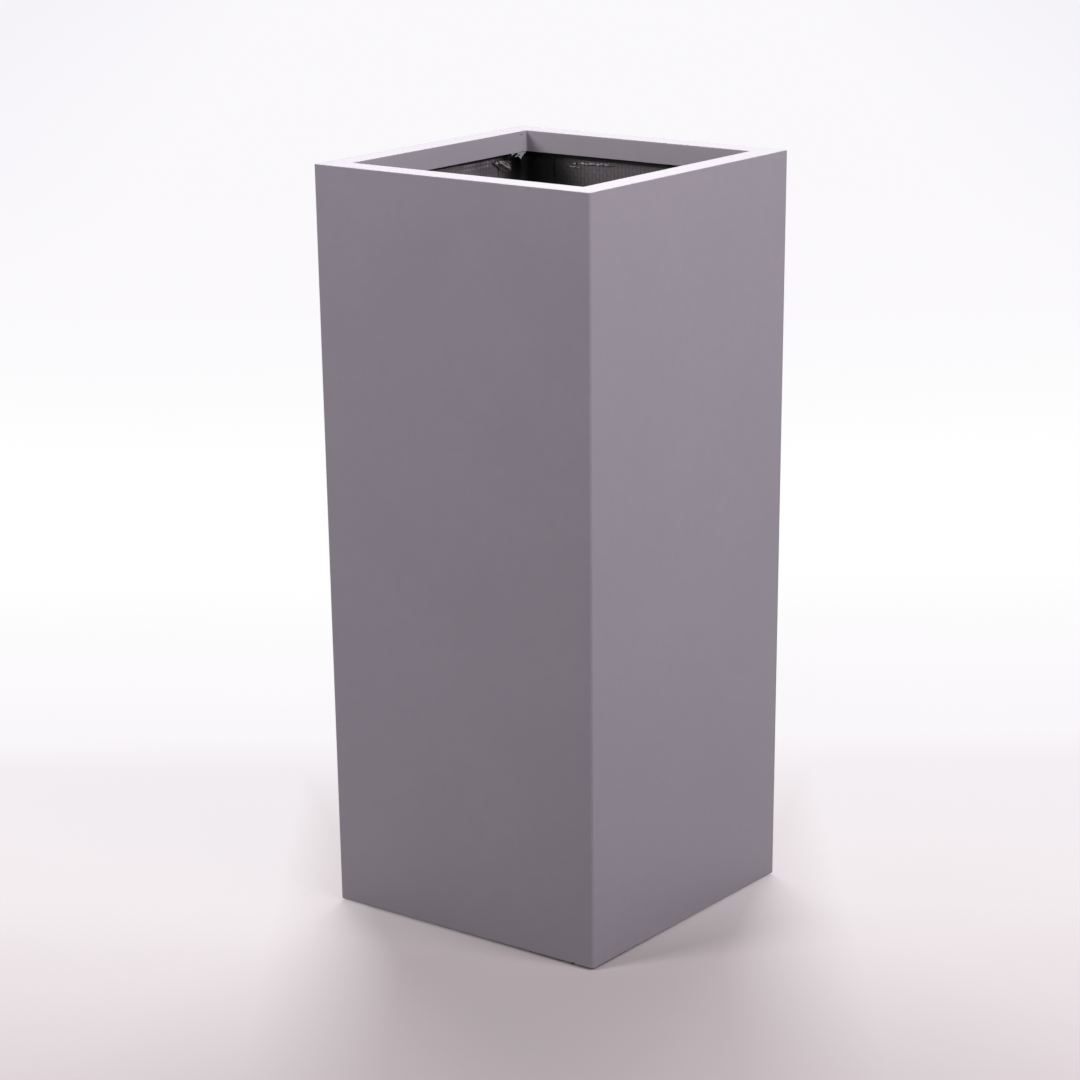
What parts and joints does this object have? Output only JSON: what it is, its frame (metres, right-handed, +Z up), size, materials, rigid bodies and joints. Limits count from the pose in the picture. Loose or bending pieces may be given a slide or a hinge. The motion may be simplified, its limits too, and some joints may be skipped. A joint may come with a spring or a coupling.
{
  "type": "tall square planter",
  "caption": "Tall tapered square planter of painted glass fibre, with a flat rim, an inner lip, a black roving lining and a plugged drain.",
  "frame": {"origin": "centre of the square footprint, on the floor under the four pads", "axes": "+Z up; -Y is the front face (at the left of the picture), +X is the right face (at its right)"},
  "size_m": [0.35, 0.35, 0.805],
  "materials": {
    "painted_laminate": "satin grey-mauve paint on glass fibre laminate",
    "black_roving": "woven glass roving under black resin",
    "black_tape": "glass tape under black resin, resin-rich",
    "batten_wood": "raw softwood",
    "board_wood": "raw plywood",
    "sleeve_plastic": "moulded black plastic",
    "bung_rubber": "black rubber",
    "pad_rubber": "grey-black rubber"
  },
  "bodies": {
    "planter": {"outer_shell": "painted_laminate", "rim_collar": "painted_laminate", "rim_batten_front": "batten_wood", "rim_batten_right": "batten_wood", "rim_batten_back": "batten_wood", "rim_batten_left": "batten_wood", "roving_front": "black_roving", "roving_right": "black_roving", "roving_back": "black_roving", "roving_left": "black_roving", "corner_tape_front_left": "black_tape", "corner_tape_front_right": "black_tape", "corner_tape_back_right": "black_tape", "corner_tape_back_left": "black_tape", "floor_board": "board_wood", "floor_roving": "black_roving", "floor_tape_front": "black_tape", "floor_tape_right": "black_tape", "floor_tape_back": "black_tape", "floor_tape_left": "black_tape", "drain_sleeve": "sleeve_plastic", "foot_pad_front_left": "pad_rubber", "foot_pad_front_right": "pad_rubber", "foot_pad_back_right": "pad_rubber", "foot_pad_back_left": "pad_rubber"},
    "bung": {"drain_bung": "bung_rubber"}
  },
  "joints": [
    {"name": "bung_lift", "type": "slide", "parent": "planter", "child": "bung", "axis": [0, 0, 1], "range_m": [0, 0.85]}
  ]
}
